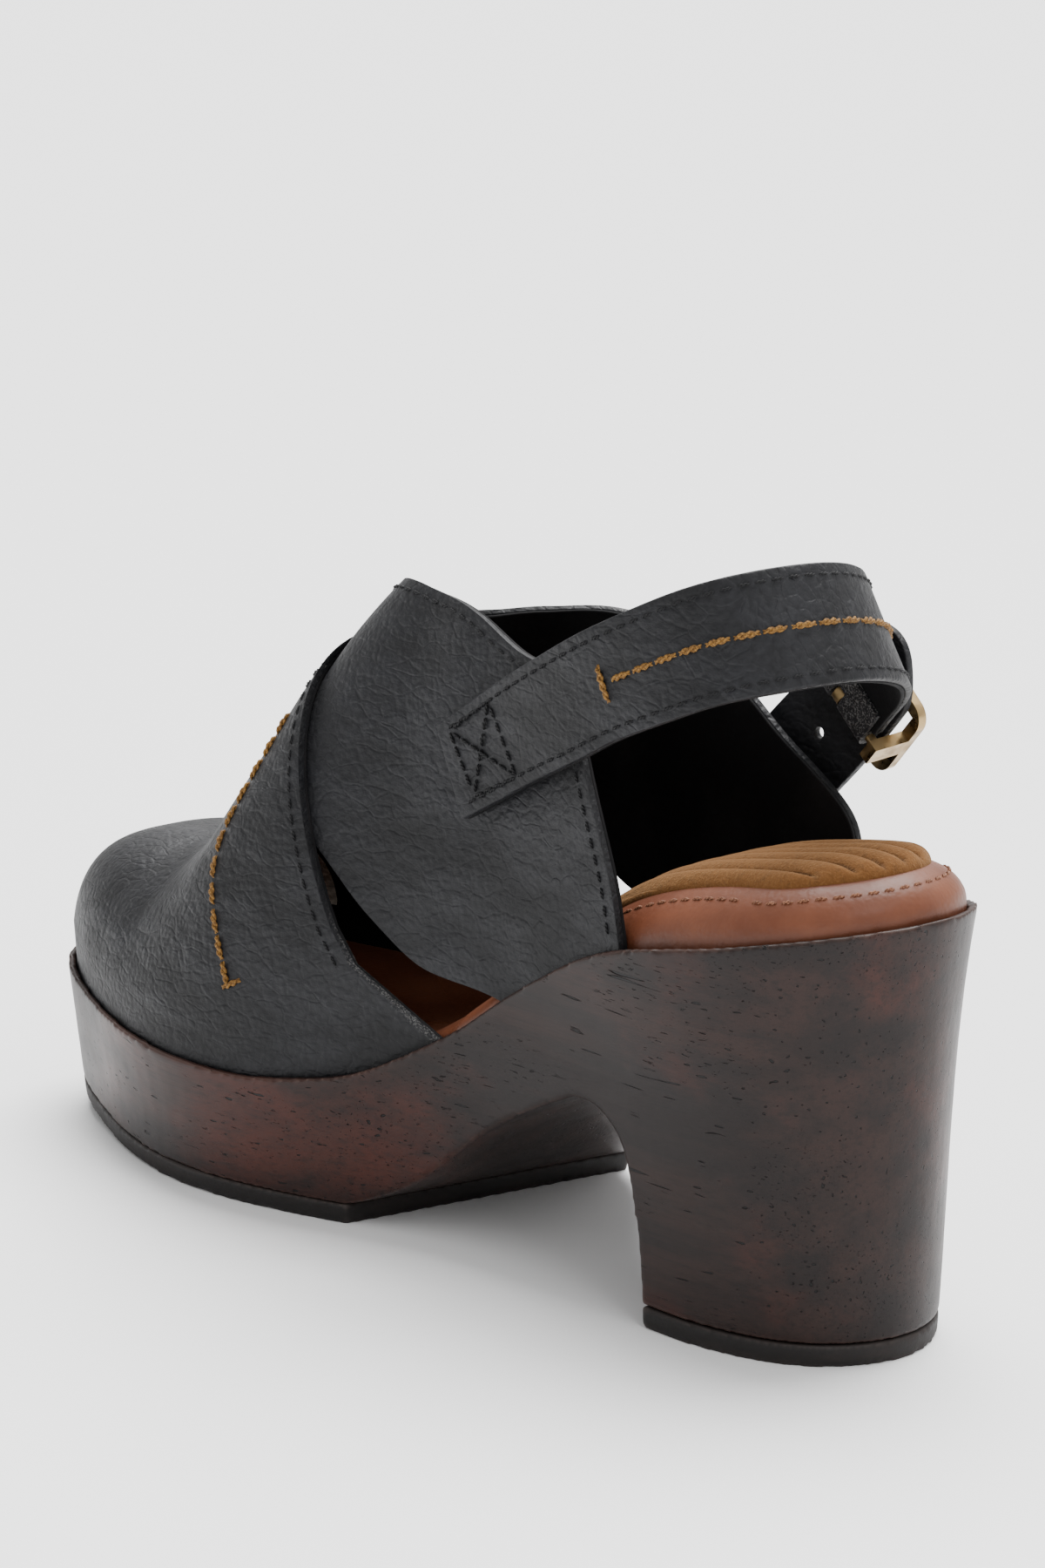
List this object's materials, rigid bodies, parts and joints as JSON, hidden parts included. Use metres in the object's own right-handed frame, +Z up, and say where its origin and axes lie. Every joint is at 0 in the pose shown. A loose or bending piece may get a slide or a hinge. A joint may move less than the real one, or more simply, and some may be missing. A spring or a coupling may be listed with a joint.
{
  "type": "wooden clog",
  "caption": "Slingback clog with a carved wooden platform and block heel, a leather upper in overlapping panels, a padded footbed and a buckled heel strap.",
  "frame": {"origin": "under the middle of the wooden sole's plan box, on the ground", "axes": "+X from heel to toe, +Y to the inner (medial) side of the foot, +Z up"},
  "size_m": [0.2446, 0.0945, 0.1545],
  "materials": {
    "dark_wood": "satin, worn and oiled dark hardwood",
    "outsole_rubber": "matt dark brown rubber",
    "nail_steel": "worn steel nail heads",
    "insole_board": "matt fibre board",
    "footbed_foam": "open-cell foam, hidden",
    "tan_footbed_leather": "smooth tan leather",
    "heel_pad_suede": "ribbed golden-brown suede",
    "black_leather": "matt pebbled charcoal leather",
    "dark_lining": "thin smooth lining",
    "toe_puff_fibre": "stiffened fibre, hidden",
    "antique_brass": "antique brushed brass"
  },
  "bodies": {
    "shoe": {"wooden_sole": "dark_wood", "forefoot_outsole": "outsole_rubber", "heel_top_lift": "outsole_rubber", "heel_lift_nails": "nail_steel", "insole_board": "insole_board", "footbed_foam": "footbed_foam", "footbed_cover": "tan_footbed_leather", "heel_pad": "heel_pad_suede", "vamp": "black_leather", "vamp_lining": "dark_lining", "toe_puff": "toe_puff_fibre", "medial_quarter": "black_leather", "medial_quarter_lining": "dark_lining", "lateral_quarter": "black_leather", "lateral_quarter_lining": "dark_lining", "strap_anchor": "black_leather", "strap_anchor_lining": "dark_lining", "billet_root": "black_leather"},
    "heel_strap": {"sling_strap": "black_leather", "sling_strap_lining": "dark_lining", "buckle_chape": "black_leather", "billet_strap": "black_leather"},
    "buckle": {"buckle_frame": "antique_brass", "buckle_bar": "antique_brass"},
    "prong": {"buckle_prong": "antique_brass"}
  },
  "joints": [
    {"name": "heel_strap_swing", "type": "hinge", "parent": "shoe", "child": "heel_strap", "pos_m": [-0.03449, -0.00038, 0.101], "axis": [0, 1, 0], "range_deg": [-15, 45]},
    {"name": "buckle_tilt", "type": "hinge", "parent": "heel_strap", "child": "buckle", "pos_m": [-0.06438, -0.03219, 0.11848], "axis": [0.7321, 0.0022, 0.6812], "range_deg": [-5, 5]},
    {"name": "prong_swing", "type": "hinge", "parent": "buckle", "child": "prong", "pos_m": [-0.06438, -0.03219, 0.11848], "axis": [-0.7321, -0.0022, -0.6812], "range_deg": [0, 40]}
  ]
}
